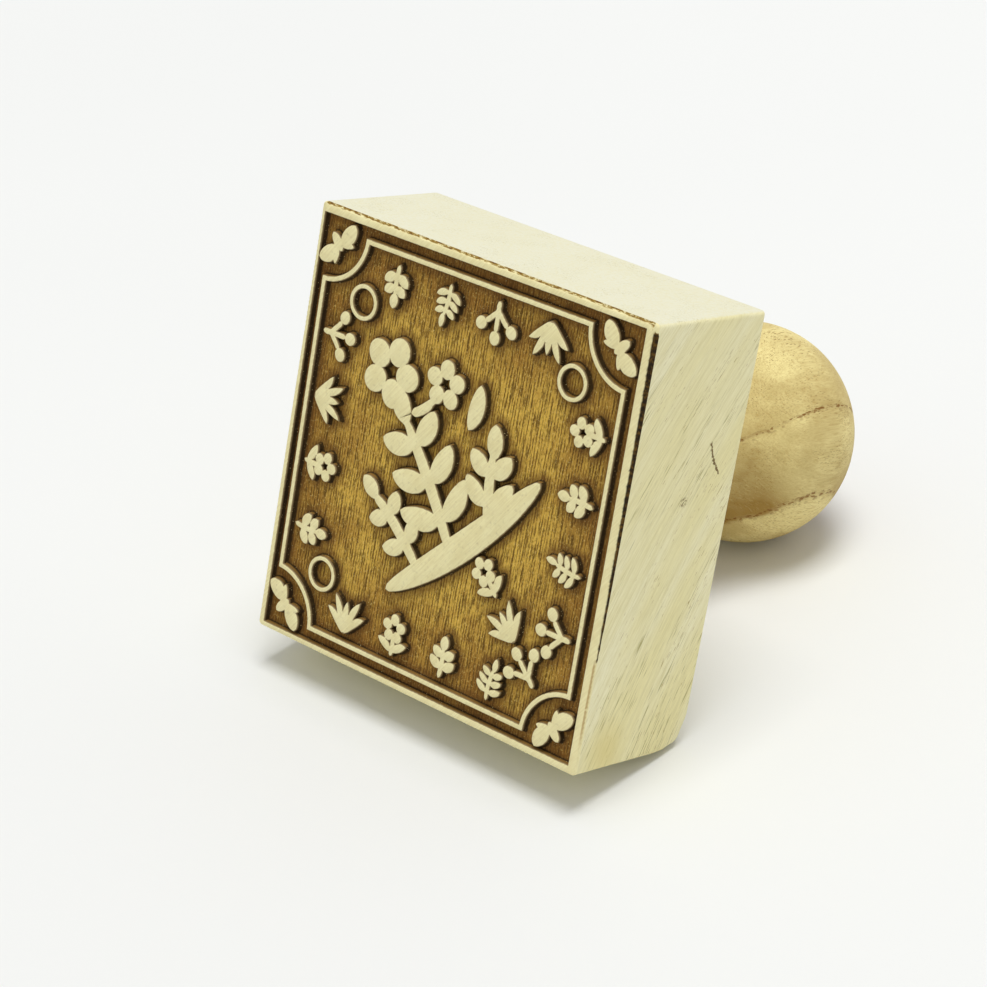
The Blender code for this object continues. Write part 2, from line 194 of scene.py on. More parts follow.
# Colours, by where they are seen, and how glossy and how deep the surfaces' textures are
WOOD_PALE = tone(248, 243, 206)
WOOD_WARM = tone(243, 234, 180)
WOOD_STREAK = tone(222, 212, 156)
# The top side's paler, greyer tone is partly its end grain and partly a painted highlight
WOOD_TOP_GRAIN_AND_PAINTED_HIGHLIGHT = tone(225, 225, 210)
WOOD_GREY = tone(172, 162, 104)
WOOD_DASH = tone(160, 130, 56)
WOOD_STAIN = tone(226, 210, 140)
MARK_TONE = tone(104, 76, 26)
FACE_TONE = tone(248, 239, 186)
FACE_SHADE = tone(233, 220, 163)
GROUND_GOLD = tone(231, 190, 84)
GROUND_BROWN = tone(162, 116, 48)
GROUND_LINE = tone(92, 66, 24)
GROUND_LIGHT = tone(236, 204, 116)
# The wall tone below is a painted lit tone for walls that face up the stamp; the brown and dark
# scorch tones also stand for painted shade on the walls and on the ground beside them
WALL_LIT = tone(140, 106, 52)
SCORCH_AND_PAINTED_SHADE_BROWN = tone(112, 76, 36)
SCORCH_AND_PAINTED_SHADE_DARK = tone(40, 30, 14)
DUST = tone(214, 194, 140)
HANDLE_LIGHT = tone(241, 226, 160)
HANDLE_DARK = tone(156, 124, 60)
HANDLE_GRAIN = tone(176, 140, 74)
HANDLE_PORE = tone(132, 90, 36)
HANDLE_RING = tone(128, 84, 34)
WOOD_GLOSS = 0.15
WOOD_BUMP = 0.00002
FINE_BUMP = 0.00001
STEEL_LIGHT = tone(176, 172, 166)
STEEL_DARK = tone(128, 124, 118)
FLOOR_TONE = tone(236, 237, 236)
FLOOR_OTHER = tone(234, 235, 234)
SKY_TONE = tone(255, 255, 255)
LAMP_TONE = (1.0, 1.0, 0.985)


# ---- Stamp axes ----

def cad_points(node):
    """A CAD node's points in the row frame, in millimetres."""
    data = frame["nodes"][node].data
    points = np.zeros(len(data.vertices) * 3)
    data.vertices.foreach_get("co", points)
    return points.reshape(-1, 3) / MM


def find_axes():
    """The stamp axes as rows, and in them the face's centre and the block's three sizes."""
    outward = Vector(frame["record"]["mounts"][0]["axis"]).normalized()
    into = -outward
    right = Vector((1, 0, 0))
    rows = np.array([right, into.cross(right), into])
    block = cad_points("stamp_block") @ rows.T
    low = block.min(0)
    high = block.max(0)
    centre = np.array([(low[0] + high[0]) / 2, (low[1] + high[1]) / 2, low[2]])
    return rows, centre, high - low


AXES, FACE_CENTRE, BLOCK_SIZE = find_axes()
HALF_WIDTH = BLOCK_SIZE[0] / 2
HALF_HEIGHT = BLOCK_SIZE[1] / 2
DEPTH = BLOCK_SIZE[2]


def to_stamp(points):
    return np.asarray(points) @ AXES.T - FACE_CENTRE


def stamp_matrix():
    """From stamp axes, in metres, to the row frame."""
    matrix = Matrix(AXES.T.tolist()).to_4x4()
    matrix.translation = Vector(FACE_CENTRE @ AXES) * MM
    return matrix


def mesh_object(name, points, faces, material):
    """A closed, smooth-shaded object from points in stamp axes, in millimetres."""
    data = bpy.data.meshes.new(name)
    data.from_pydata((np.asarray(points) * MM).tolist(), [], faces)
    bm = bmesh.new()
    bm.from_mesh(data)
    bmesh.ops.recalc_face_normals(bm, faces=bm.faces)
    bm.to_mesh(data)
    bm.free()
    data.shade_smooth()
    data.materials.append(material)
    item = bpy.data.objects.new(name, data)
    item.matrix_world = stamp_matrix()
    bpy.context.scene.collection.objects.link(item)
    return item


# ---- Engraved outlines ----

def pocket_outline():
    """The rim's inner outline: a slightly turned rectangle."""
    across, down = POCKET_SIZE[0] / 2, POCKET_SIZE[1] / 2
    turn = Matrix.Rotation(POCKET_TURN, 2)
    corners = ((-across, -down), (across, -down), (across, down), (-across, down))
    return np.array([turn @ Vector(corner) + Vector(POCKET_OFFSET) for corner in corners])


def turning(outline):
    """How far the outline turns at each of its points, from 0 to pi."""
    before = outline - np.roll(outline, 1, 0)
    after = np.roll(outline, -1, 0) - outline
    cross = before[:, 0] * after[:, 1] - before[:, 1] * after[:, 0]
    return np.abs(np.arctan2(cross, (before * after).sum(1)))


def raised_outlines():
    """Closed outlines of the raised parts in the face's plane, all with the ground on one side."""
    bm = bmesh.new()
    bm.from_mesh(frame["nodes"]["stamp_block"].data)
    bmesh.ops.remove_doubles(bm, verts=bm.verts, dist=0.000002)
    bm.verts.index_update()
    bm.faces.index_update()
    places = to_stamp(np.array([vert.co for vert in bm.verts]) / MM)
    in_plane = places[:, 2] < 0.01
    raised = [face for face in bm.faces if all(in_plane[vert.index] for vert in face.verts)]
    numbers = {face.index for face in raised}
    following = {}
    for face in raised:
        for loop in face.loops:
            others = {other.index for other in loop.edge.link_faces} - {face.index}
            if not others & numbers:
                after = loop.link_loop_next.vert.index
                following.setdefault(loop.vert.index, []).append(after)
    outlines = []
    while following:
        start = next(iter(following))
        chain = [start]
        place = following[start].pop()
        while place != start:
            chain.append(place)
            place = following[place].pop()
        following = {key: ends for key, ends in following.items() if ends}
        outlines.append(places[chain, :2])
    bm.free()
    # The rim runs out into the block's rounded edge, so its inner outline is drawn afresh.
    outlines = [line for line in outlines if np.ptp(line[:, 0]) < BLOCK_SIZE[0] - 3]
    return outlines + [pocket_outline()]


def hermite(points, closed):
    """Points about OUTLINE_SPACING apart on a smooth curve through the given ones."""
    count = len(points)
    if closed:
        padded = np.vstack([points[-1], points, points[0], points[1]])
    else:
        padded = np.vstack([2 * points[0] - points[1], points, 2 * points[-1] - points[-2]])
    steps = np.diff(padded, axis=0)
    lengths = np.maximum(np.hypot(*steps.T), 1e-6)[:, None]
    slopes = steps / lengths
    tangents = ((slopes[1:] * lengths[:-1] + slopes[:-1] * lengths[1:])
                / (lengths[1:] + lengths[:-1]))
    curve = []
    for k in range(count if closed else count - 1):
        start, end = padded[k + 1], padded[k + 2]
        length = lengths[k + 1, 0]
        pieces = max(1, math.ceil(length / OUTLINE_SPACING))
        for piece in range(pieces):
            t = piece / pieces
            curve.append((2 * t ** 3 - 3 * t ** 2 + 1) * start
                         + (t ** 3 - 2 * t ** 2 + t) * length * tangents[k]
                         + (3 * t ** 2 - 2 * t ** 3) * end
                         + (t ** 3 - t ** 2) * length * tangents[k + 1])
    return curve


def smoothed(outline):
    """The outline with its round stretches made smooth and its real corners kept."""
    keep = np.hypot(*(outline - np.roll(outline, 1, 0)).T) > 0.03
    outline = outline[keep]
    corners = np.nonzero(turning(outline) > CORNER_ANGLE)[0]
    if len(corners) == 0:
        return np.array(hermite(outline, True))
    outline = np.roll(outline, -corners[0], 0)
    breaks = list(corners - corners[0]) + [len(outline)]
    outline = np.vstack([outline, outline[0]])
    curve = []
    for first, last in zip(breaks, breaks[1:]):
        curve += hermite(outline[first:last + 1], False)
    return np.array(curve)


class Outlines:
    """All raised outlines as one set of samples, with the distance from any place to them."""

    def __init__(self, lines):
        """Rounds off the outlines; which side is ground is still decided by the given ones."""
        self.edges = [pair for line in lines for pair in zip(line, np.roll(line, -1, 0))]
        lines = [smoothed(line) for line in lines]
        self.points = np.vstack(lines)
        self.before = np.zeros(len(self.points), int)
        self.after = np.zeros(len(self.points), int)
        start = 0
        for line in lines:
            index = np.arange(start, start + len(line))
            self.before[index] = np.roll(index, 1)
            self.after[index] = np.roll(index, -1)
            start += len(line)
        step = self.points[self.after] - self.points
        step /= np.maximum(np.hypot(*step.T), TINY)[:, None]
        # These normals point over the ground.
        self.normal_after = np.column_stack([-step[:, 1], step[:, 0]])
        self.normal_before = self.normal_after[self.before]
        mean = self.normal_after + self.normal_before
        self.normal = mean / np.maximum(np.hypot(*mean.T), TINY)[:, None]
        self.tree = KDTree(len(self.points))
        for index, point in enumerate(self.points):
            self.tree.insert((point[0], point[1], 0.0), index)
        self.tree.balance()

    def over_ground(self, places):
        """Whether each place lies over the ground, by counting outlines on the way out."""
        x, y = places.T
        odd = np.zeros(len(places), bool)
        for start, end in self.edges:
            if start[1] != end[1]:
                cross = start[0] + (y - start[1]) * (end[0] - start[0]) / (end[1] - start[1])
                odd ^= ((start[1] > y) != (end[1] > y)) & (x < cross)
        return odd

    def distance(self, places):
        """Signed distance: above zero over the ground, below zero over the raised parts."""
        nearest = np.array([self.tree.find((x, y, 0.0))[1] for x, y in places])
        found = np.full(len(places), np.inf)
        side = np.zeros(len(places))
        for first, second in ((self.before[nearest], nearest), (nearest, self.after[nearest])):
            start = self.points[first]
            along = self.points[second] - start
            length = np.maximum((along ** 2).sum(1), 1e-12)
            share = np.clip(((places - start) * along).sum(1) / length, 0, 1)
            offset = places - start - along * share[:, None]
            gap = np.hypot(*offset.T)
            facing = (offset * self.normal_after[first]).sum(1)
            at_point = (share <= 0) | (share >= 1)
            corner = np.where(share <= 0, first, second)
            at_corner = (offset * self.normal[corner]).sum(1)
            sign = np.where(at_point, at_corner, facing)
            closer = gap < found
            side = np.where(closer, sign, side)
            found = np.where(closer, gap, found)
        ground = np.where(found > BESIDE_OUTLINE, self.over_ground(places), side >= 0)
        return np.where(ground, found, -found)


# ---- Depth of the face ----

def smooth_step(low, high, value):
    t = np.clip((value - low) / (high - low), 0, 1)
    return t * t * (3 - 2 * t)


def wobble(places, scale, seed):
    """Smooth noise between -1 and 1 at each place."""
    return np.array([noise.noise(Vector((x * scale, y * scale, seed))) for x, y in places])


def wall(distance, depth):
    """Depth under the face at a distance from an outline: a rounded lip, a steep wall, a fillet."""
    profile = np.interp(distance, [-LIP_REACH, 0.0, WALL_HALFWAY, WALL_RUN, FILLET_RUN],
                        [0.0, LIP_DROP, 0.55, 0.93, 1.0])
    lip = np.interp(distance, [-LIP_REACH, 0.0], [0.0, LIP_DROP])
    return np.where(distance < 0, lip, profile * depth)


def inside_outline(places):
    """Distance from the block's rounded outline, above zero inside it."""
    reach = np.abs(places) - np.array([HALF_WIDTH - CORNER_RADIUS, HALF_HEIGHT - CORNER_RADIUS])
    outside = np.hypot(*np.maximum(reach, 0).T)
    return CORNER_RADIUS - outside - np.minimum(reach.max(1), 0)


def side_step_line(v):
    """Where the step along the right edge begins, for a height on the face."""
    share = (v + SIDE_STEP_TOP) / (SIDE_STEP_TOP - SIDE_STEP_BOTTOM)
    return HALF_WIDTH - SIDE_STEP_WIDTH + (SIDE_STEP_WIDTH - SIDE_STEP_END_WIDTH) * share


def step_distances(places):
    """How far each place lies inside the steps along the top and the right edge."""
    ragged = 0.07 * wobble(places, 1.3, 4.0) + 0.05 * wobble(places, 4.0, 9.0)
    top = TOP_STEP_WIDTH - HALF_HEIGHT - places[:, 1] + ragged
    top = np.minimum(top, HALF_WIDTH - CORNER_RADIUS - np.abs(places[:, 0]))
    side = places[:, 0] - side_step_line(places[:, 1]) + ragged
    side = np.minimum(side, places[:, 1] + SIDE_STEP_TOP)
    side = np.minimum(side, -SIDE_STEP_BOTTOM - places[:, 1])
    return top, side


def beam_lines(u):
    """Height of the beam's lines: ridges and furrows of uneven strength."""
    rows = np.round(u / (RASTER_PITCH / 2))
    strength = 0.6 + 0.4 * np.sin(rows * 12.9898) * np.cos(rows * 4.1414)
    return np.where(rows % 2 == 0, 1.0, -1.0) * RASTER_DEPTH * strength


def face_depth(places, distance, depth):
    """Depth of the finished face under the block's front plane."""
    rough = 0.02 * wobble(places, 2.1, 1.0) + 0.035 * wobble(places, 0.25, 2.0)
    far = smooth_step(0.35, 0.6, distance)
    deep = wall(distance, depth) + far * (beam_lines(places[:, 0]) + rough)
    top, side = step_distances(places)
    edge = np.maximum(FACE_ROUNDING - inside_outline(places), 0)
    rounding = FACE_ROUNDING - np.sqrt(np.maximum(FACE_ROUNDING ** 2 - edge ** 2, 0))
    steps = np.maximum(wall(top, TOP_STEP_DEPTH), wall(side, SIDE_STEP_DEPTH))
    return np.maximum(np.maximum(deep, rounding), steps)


# ---- The block ----

def rounded(points):
    """Sharp box points moved onto the block's rounded edges; the front stays square."""
    points = np.asarray(points, float)
    to_heel = np.hypot(points[:, 1] - HALF_HEIGHT, points[:, 2] - DEPTH)
    heel = 1 - smooth_step(HEEL_FULL, HEEL_REACH, to_heel)
    radius = CORNER_RADIUS + (HEEL_RADIUS - CORNER_RADIUS) * heel
    core = points.copy()
    core[:, 0] = np.clip(points[:, 0], radius - HALF_WIDTH, HALF_WIDTH - radius)
    core[:, 1] = np.clip(points[:, 1], radius - HALF_HEIGHT, HALF_HEIGHT - radius)
    core[:, 2] = np.minimum(points[:, 2], DEPTH - radius)
    offset = points - core
    length = np.maximum(np.sqrt((offset ** 2).sum(1)), TINY)
    moved = core + offset / length[:, None] * np.minimum(length, radius)[:, None]
    return np.where((length > 1e-6)[:, None], moved, points)


def edge_stations(half):
    """Places along an edge of the block, closer together at its ends."""
    last = END_STATIONS[-1]
    length = 2 * half - 2 * last
    count = round(length / STATION_SPACING)
    middle = [last + length * k / count for k in range(1, count)]
    far_end = [2 * half - end for end in reversed(END_STATIONS)]
    return np.array([*END_STATIONS, *middle, *far_end]) - half


def sharp_outline():
    """Points round the block's sharp outline, clockwise as one looks at the face."""
    across = edge_stations(HALF_WIDTH)
    down = edge_stations(HALF_HEIGHT)
    top = [(u, -HALF_HEIGHT) for u in across[:-1]]
    right = [(HALF_WIDTH, v) for v in down[:-1]]
    bottom = [(-u, HALF_HEIGHT) for u in across[:-1]]
    left = [(-HALF_WIDTH, -v) for v in down[:-1]]
    return np.array(top + right + bottom + left)


def level(outline, depth, inset=0.0):
    """The block's outline at a depth, or moved in over the back by an inset, and rounded."""
    shrink = np.array([1 - inset / HALF_WIDTH, 1 - inset / HALF_HEIGHT])
    return rounded(np.column_stack([outline * shrink, np.full(len(outline), depth)]))


def spaced(places, gap):
    """The places, less those that lie nearer than gap to one before them."""
    taken = {}
    kept = []
    for place in places:
        key = (math.floor(place[0] / gap), math.floor(place[1] / gap))
        near = [other for dx in (-1, 0, 1) for dy in (-1, 0, 1)
                for other in taken.get((key[0] + dx, key[1] + dy), [])]
        if all(math.hypot(place[0] - other[0], place[1] - other[1]) >= gap for other in near):
            taken.setdefault(key, []).append(place)
            kept.append(place)
    return np.array(kept)


def beside_outlines(outlines):
    """Places just inside and outside every outline, which shape its lip and its wall."""
    kept = []
    for offset, gap in ((WALL_HALFWAY, WALL_SPACING), (WALL_RUN, WALL_SPACING),
                        (FILLET_RUN, FILLET_SPACING), (-LIP_REACH, WALL_SPACING)):
        places = np.vstack([outlines.points + normal * offset
                            for normal in (outlines.normal, outlines.normal_after,
                                           outlines.normal_before)])
        # Places that lie nearer to another stretch of outline are left out.
        error = np.abs(outlines.distance(places) - offset)
        kept.append(spaced(places[error < 0.02 + 0.1 * abs(offset)], gap))
    return np.vstack(kept)


def ground_places(outlines):
    """Places on the ground along the lines that the engraver's beam left."""
    columns = int(HALF_WIDTH / (RASTER_PITCH / 2))
    rows = int(HALF_HEIGHT / GROUND_SPACING)
    places = np.array([(column * RASTER_PITCH / 2, (row + 0.5 * (column % 2)) * GROUND_SPACING)
                       for column in range(-columns, columns + 1)
                       for row in range(-rows, rows + 1)])
    return places[outlines.distance(places) > GROUND_START]


def step_places():
    """Places along both edge steps: on the lip, on the wall and on the floor."""
    places = []
    for offset in (-LIP_REACH, 0.0, WALL_HALFWAY, WALL_RUN):
        for u in np.arange(TOP_STEP_INSET - HALF_WIDTH, HALF_WIDTH - TOP_STEP_INSET, STEP_SPACING):
            places.append((u, TOP_STEP_WIDTH - HALF_HEIGHT - offset))
        for v in np.arange(-SIDE_STEP_TOP + 0.1, -SIDE_STEP_BOTTOM, STEP_SPACING):
            places.append((side_step_line(v) + offset, v))
    return np.array(places)


def closed_loop(count, start=0):
    """The edges of a closed loop of points that are numbered from a start."""
    return [(start + k, start + (k + 1) % count) for k in range(count)]


def face_patch(outline):
    """The engraved face's points, triangles and outline distances, and its border's points."""
    outlines = Outlines(raised_outlines())
    normals = outline - rounded(np.column_stack([outline * 0.98, np.zeros(len(outline))]))[:, :2]
    normals /= np.hypot(*normals.T)[:, None]
    rim = np.vstack([outline - normals * inset for inset in RIM_STATIONS])
    extra = np.vstack([beside_outlines(outlines), ground_places(outlines)])
    rim = rim[np.abs(outlines.distance(rim)) > CLEAR_OF_OUTLINE]
    steps = step_places()
    steps = steps[inside_outline(steps) > 0.02]
    steps = steps[np.abs(outlines.distance(steps)) > CLEAR_OF_OUTLINE]
    edge = spaced(np.vstack([steps, rim]), EDGE_SPACING)
    inner = extra[inside_outline(extra) > CLEAR_OF_EDGE]
    places = np.vstack([outline, outlines.points, inner, edge])
    count = len(outline)
    edges = closed_loop(count)
    edges += [(count + k, count + int(after)) for k, after in enumerate(outlines.after)]
    result = delaunay_2d_cdt([Vector(place) for place in places], edges, [], 0, 1e-5, True)
    points = np.array([(vert.x, vert.y) for vert in result[0]])
    found = {source: index for index, sources in enumerate(result[3]) for source in sources}
    return points, result[2], outlines.distance(points), [found[k] for k in range(count)]


def engraved_depth():
    """How deep the CAD block's ground lies under its face."""
    depths = to_stamp(cad_points("stamp_block"))[:, 2]
    return float(np.median(depths[(depths > 0.75) & (depths < 2)]))


def drilled_back(rim, first):
    """The back inside its outermost loop, with the bore: more points, and faces by point number.

    The loop's points are given with their numbers, and the new points are numbered from first.
    """
    loop, numbers = rim
    bottom = to_stamp(cad_points("dowel_screw"))[:, 2].min() - GAP
    angles = [2 * math.pi * k / BORE_SIDES for k in range(BORE_SIDES)]
    circle = np.array([(BORE_RADIUS * math.cos(angle), BORE_RADIUS * math.sin(angle))
                       for angle in angles])
    count = len(numbers)
    flat = [Vector(place[:2]) for place in loop] + [Vector(place) for place in circle]
    edges = closed_loop(count) + closed_loop(BORE_SIDES, count)
    fill = delaunay_2d_cdt(flat, edges, [], 0, 1e-6, True)
    number = {}
    for index, sources in enumerate(fill[3]):
        for source in sources:
            number[index] = numbers[source] if source < count else first + source - count
    faces = []
    for face in fill[2]:
        middle = sum((fill[0][k] for k in face), Vector((0, 0))) / len(face)
        if middle.length > BORE_RADIUS * 0.9 or any(number[k] < first for k in face):
            faces.append(tuple(number[k] for k in reversed(face)))
    deep = first + BORE_SIDES
    for k, after in closed_loop(BORE_SIDES):
        faces.append((first + k, first + after, deep + after, deep + k))
        faces.append((deep + k, deep + after, deep + BORE_SIDES))
    points = [np.column_stack([circle, np.full(BORE_SIDES, w)]) for w in (DEPTH, bottom)]
    return points + [np.array([[0, 0, bottom]])], faces


def make_block(material):
    sharp = sharp_outline()
    outline = level(sharp, 0.0)[:, :2]
    places, triangles, distance, border = face_patch(outline)
    front = face_depth(places, distance, engraved_depth())
    points = [np.column_stack([places, front])]
    faces = [tuple(face) for face in triangles]

    # Loops down the sides and in over the back
    rings = []
    for share in SIDE_LOOP_SHARES:
        ring = level(sharp, 0.0)
        ring[:, 2] = front[border] + (SIDE_LOOP - front[border]) * share
        rings.append(ring)
    plain = list(np.linspace(SIDE_LOOP, DEPTH - BACK_LOOP, PLAIN_LOOPS)[1:])
    for w in plain + [DEPTH - back for back in reversed((0, *BACK_STATIONS))]:
        rings.append(level(sharp, w))
    rings += [level(sharp, DEPTH, inset) for inset in BACK_STATIONS]
    count = len(sharp)
    loops = [border]
    total = len(places)
    for ring in rings:
        points.append(ring)
        loops.append(list(range(total, total + count)))
        total += count
    for upper, lower in zip(loops, loops[1:]):
        for k, after in closed_loop(count):
            faces.append((upper[k], upper[after], lower[after], lower[k]))

    back_points, back_faces = drilled_back((rings[-1], loops[-1]), total)
    points = np.vstack(points + back_points)
    item = mesh_object("engraved_block", points, faces + back_faces, material)

    # How far each point lies from an outline, and how burnt it is by an edge step
    top, side = step_distances(points[:, :2])
    near = np.full(len(points), NOT_ENGRAVED)
    near[:len(places)] = distance
    scorch = np.maximum(wall(top, 1.0), wall(side, 1.0))
    scorch[len(places):] = 0
    for name, values in (("wall_distance", near), ("edge_scorch", scorch)):
        attribute = item.data.attributes.new(name, "FLOAT", "POINT")
        attribute.data.foreach_set("value", values.astype(np.float32))
    return item


# ---- The handle ----

def handle_profile():
    """The turned outline's radius and place along w, from the bore's mouth to the ball's end."""
    foot = DEPTH + GAP
    profile = [(BORE_RADIUS, foot), (FOOT_RADIUS - 2, foot)]
    for k in range(ROUNDING_STEPS + 1):
        angle = math.pi / 2 * k / ROUNDING_STEPS
        profile.append((FOOT_RADIUS - FOOT_ROUNDING * (1 - math.sin(angle)),
                        foot + FOOT_ROUNDING * (1 - math.cos(angle))))
    foot_top = Vector((FOOT_RADIUS, DEPTH + FOOT_HEIGHT))
    neck = Vector((NECK_RADIUS, DEPTH + NECK_PLACE))
    cove = interpolate_bezier(foot_top, foot_top + Vector(FOOT_PULL), neck - Vector(COVE_PULL),
                              neck, COVE_STEPS)
    shoulder = Vector((BALL_RADIUS * math.sin(SHOULDER_ANGLE),
                       BALL_CENTRE + BALL_RADIUS * math.cos(SHOULDER_ANGLE)))
    slope = Vector((-math.cos(SHOULDER_ANGLE), math.sin(SHOULDER_ANGLE)))
    flare = interpolate_bezier(neck, neck + Vector(FLARE_PULL), shoulder - slope * SHOULDER_PULL,
                               shoulder, FLARE_STEPS)
    profile += [tuple(point) for point in cove] + [tuple(point) for point in flare[1:]]
    for k in range(1, BALL_STEPS):
        angle = SHOULDER_ANGLE * (1 - k / BALL_STEPS)
        half_axis = BALL_END if angle < math.pi / 2 else BALL_RADIUS
        profile.append((BALL_RADIUS * math.sin(angle), BALL_CENTRE + half_axis * math.cos(angle)))
    return profile


def make_handle(material):
    bore_end = to_stamp(cad_points("dowel_screw"))[:, 2].max() + GAP
    profile = [(BORE_RADIUS, bore_end)] + handle_profile()
    points = []
    for radius, w in profile:
        for k in range(HANDLE_SIDES):
            angle = 2 * math.pi * k / HANDLE_SIDES
            direction = Vector((math.cos(angle), math.sin(angle), 0))
            dent = 0.0
            if radius > BORE_RADIUS:
                dent = TURNING_DENT * noise.noise(direction * 2.5 + Vector((0, 0, w * 0.2)))
            points.append((*(direction * (radius + dent)).xy, w))
    faces = []
    last = (len(profile) - 1) * HANDLE_SIDES
    for near in range(0, last, HANDLE_SIDES):
        far = near + HANDLE_SIDES
        for k, after in closed_loop(HANDLE_SIDES):
            faces.append((near + k, near + after, far + after, far + k))
    for start, end in ((0, bore_end), (last, BALL_CENTRE + BALL_END)):
        points.append((0, 0, end))
        faces += [(k, after, len(points) - 1) for k, after in closed_loop(HANDLE_SIDES, start)]
    return mesh_object("turned_handle", points, faces, material)


# ---- Materials ----

class Nodes:
    """Short names for the shader nodes that the materials are made of."""

    def __init__(self, name):
        self.material = bpy.data.materials.new(name)
        self.material.use_nodes = True
        self.tree = self.material.node_tree
        self.shader = self.tree.nodes["Principled BSDF"]

    def feed(self, socket, value):
        if isinstance(value, bpy.types.NodeSocket):
            self.tree.links.new(value, socket)
        else:
            socket.default_value = value

    def add(self, kind, inputs, **settings):
        node = self.tree.nodes.new(kind)
        for name, value in settings.items():
            setattr(node, name, value)
        for name, value in inputs.items():
            self.feed(node.inputs[name], value)
        return node

    def place(self):
        """Object coordinates in millimetres."""
        where = self.add("ShaderNodeTexCoord", {}).outputs["Object"]
        return self.add("ShaderNodeVectorMath", {0: where, "Scale": 1000.0},
                        operation="SCALE").outputs["Vector"]

    def split(self, vector):
        return self.add("ShaderNodeSeparateXYZ", {0: vector}).outputs

    def join(self, x, y, z):
        return self.add("ShaderNodeCombineXYZ", {0: x, 1: y, 2: z}).outputs[0]

    def stretched(self, vector, scale):
        return self.add("ShaderNodeVectorMath", {0: vector, 1: scale},
                        operation="MULTIPLY").outputs[0]

    def dot(self, vector, direction):
        return self.add("ShaderNodeVectorMath", {0: vector, 1: direction},
                        operation="DOT_PRODUCT").outputs["Value"]

    def along(self, vector, direction):
        """The vector's parts across and along a direction, which becomes the new z."""
        side = direction.orthogonal().normalized()
        return self.join(*[self.dot(vector, axis)
                           for axis in (side, direction.cross(side), direction)])

    def math(self, operation, first, second=0.0):
        return self.add("ShaderNodeMath", {0: first, 1: second}, operation=operation).outputs[0]

    def plus(self, first, second):
        return self.math("ADD", first, second)

    def minus(self, first, second):
        return self.math("SUBTRACT", first, second)

    def times(self, first, second):
        return self.math("MULTIPLY", first, second)

    def over(self, first, second):
        return self.math("DIVIDE", first, second)

    def most(self, first, second):
        return self.math("MAXIMUM", first, second)

    def rest(self, share):
        """What a share leaves of one."""
        return self.minus(1.0, share)

    def swing(self, value, amount):
        """How far a noise is from its middle, a half, times an amount."""
        return self.times(self.minus(value, 0.5), amount)

    def length(self, x, y):
        return self.math("SQRT", self.plus(self.math("POWER", x, 2.0), self.math("POWER", y, 2.0)))

    def noise(self, vector, scale=1.0, detail=2.0, roughness=0.5):
        """Soft noise about a half. The scale is one number, or one for each axis."""
        if isinstance(scale, tuple):
            vector, scale = self.stretched(vector, scale), 1.0
        return self.add("ShaderNodeTexNoise", {"Vector": vector, "Scale": scale, "Detail": detail,
                                               "Roughness": roughness}).outputs[0]

    def cells(self, vector, scale):
        """Distance to the nearest of scattered points, which lie closer at a larger scale."""
        return self.add("ShaderNodeTexVoronoi", {"Vector": self.stretched(vector, scale),
                                                 "Scale": 1.0}).outputs["Distance"]

    def span(self, value, low, high, start=0.0, end=1.0):
        """A smooth change from start to end while the value goes from low to high."""
        return self.add("ShaderNodeMapRange", {"Value": value, "From Min": low, "From Max": high,
                                               "To Min": start, "To Max": end},
                        interpolation_type="SMOOTHSTEP").outputs[0]

    def mix(self, share, first, second):
        return self.add("ShaderNodeMix", {"Factor": share, 6: first, 7: second},
                        data_type="RGBA").outputs[2]

    def attribute(self, name):
        return self.add("ShaderNodeAttribute", {}, attribute_name=name).outputs["Fac"]

    def bump(self, height, distance, strength=1.0):
        return self.add("ShaderNodeBump", {"Height": height, "Distance": distance,
                                           "Strength": strength}).outputs[0]

    def finish(self, colour, roughness, normal, gloss=0.5):
        self.feed(self.shader.inputs["Base Color"], colour)
        self.feed(self.shader.inputs["Roughness"], roughness)
        self.feed(self.shader.inputs["Normal"], normal)
        self.feed(self.shader.inputs["Specular IOR Level"], gloss)
        return self.material


def side_marks(nodes, u, v, w):
    """Shares of the crack, the small knot and the pale stain on the block's right side."""
    on_side = nodes.span(u, HALF_WIDTH - 0.3, HALF_WIDTH - 0.05)
    start, end = Vector(CRACK_START), Vector(CRACK_END)
    along = (end - start).normalized()
    from_start = nodes.join(nodes.minus(w, start.x), nodes.minus(v, start.y), 0.0)
    share = nodes.over(nodes.dot(from_start, (along.x, along.y, 0)), (end - start).length)
    bow = nodes.times(nodes.times(share, nodes.rest(share)), 4 * CRACK_BOW)
    across = nodes.dot(from_start, (-along.y, along.x, 0))
    off = nodes.math("ABSOLUTE", nodes.minus(across, bow))
    pits = nodes.noise(nodes.join(v, w, 0.0), 2.6)
    half_width = nodes.times(nodes.minus(pits, 0.36), CRACK_WIDTH * 6)
    crack = nodes.span(nodes.minus(off, half_width), 0.05, -0.03)
    ends = nodes.times(nodes.span(share, 0.0, 0.06), nodes.span(share, 1.0, 0.94))
    crack = nodes.times(nodes.times(crack, ends), on_side)

    def spot(place, size, blur):
        away = nodes.length(nodes.over(nodes.minus(w, place[0]), size[0]),
                            nodes.over(nodes.minus(v, place[1]), size[1]))
        return nodes.times(nodes.span(away, 1.0 + blur, 1.0 - blur), on_side)

    return crack, spot(KNOT_PLACE, KNOT_SIZE, 0.5), spot(STAIN_PLACE, STAIN_SIZE, 0.9)


def hairline(nodes, place):
    """The faint burnt line that carries on below the step in the right edge."""
    u, v, w = nodes.split(place)
    off = nodes.math("ABSOLUTE", nodes.minus(u, HALF_WIDTH - HAIRLINE_INSET))
    line = nodes.times(nodes.span(off, 0.17, 0.06), nodes.span(w, 0.7, 0.4))
    reach = nodes.times(nodes.span(v, -SIDE_STEP_BOTTOM - 1, -SIDE_STEP_BOTTOM + 1),
                        nodes.span(v, HAIRLINE_END, HAIRLINE_END - 4.0))
    broken = nodes.noise(place, 1.4)
    return nodes.times(nodes.times(line, reach), nodes.span(broken, 0.2, 0.4))


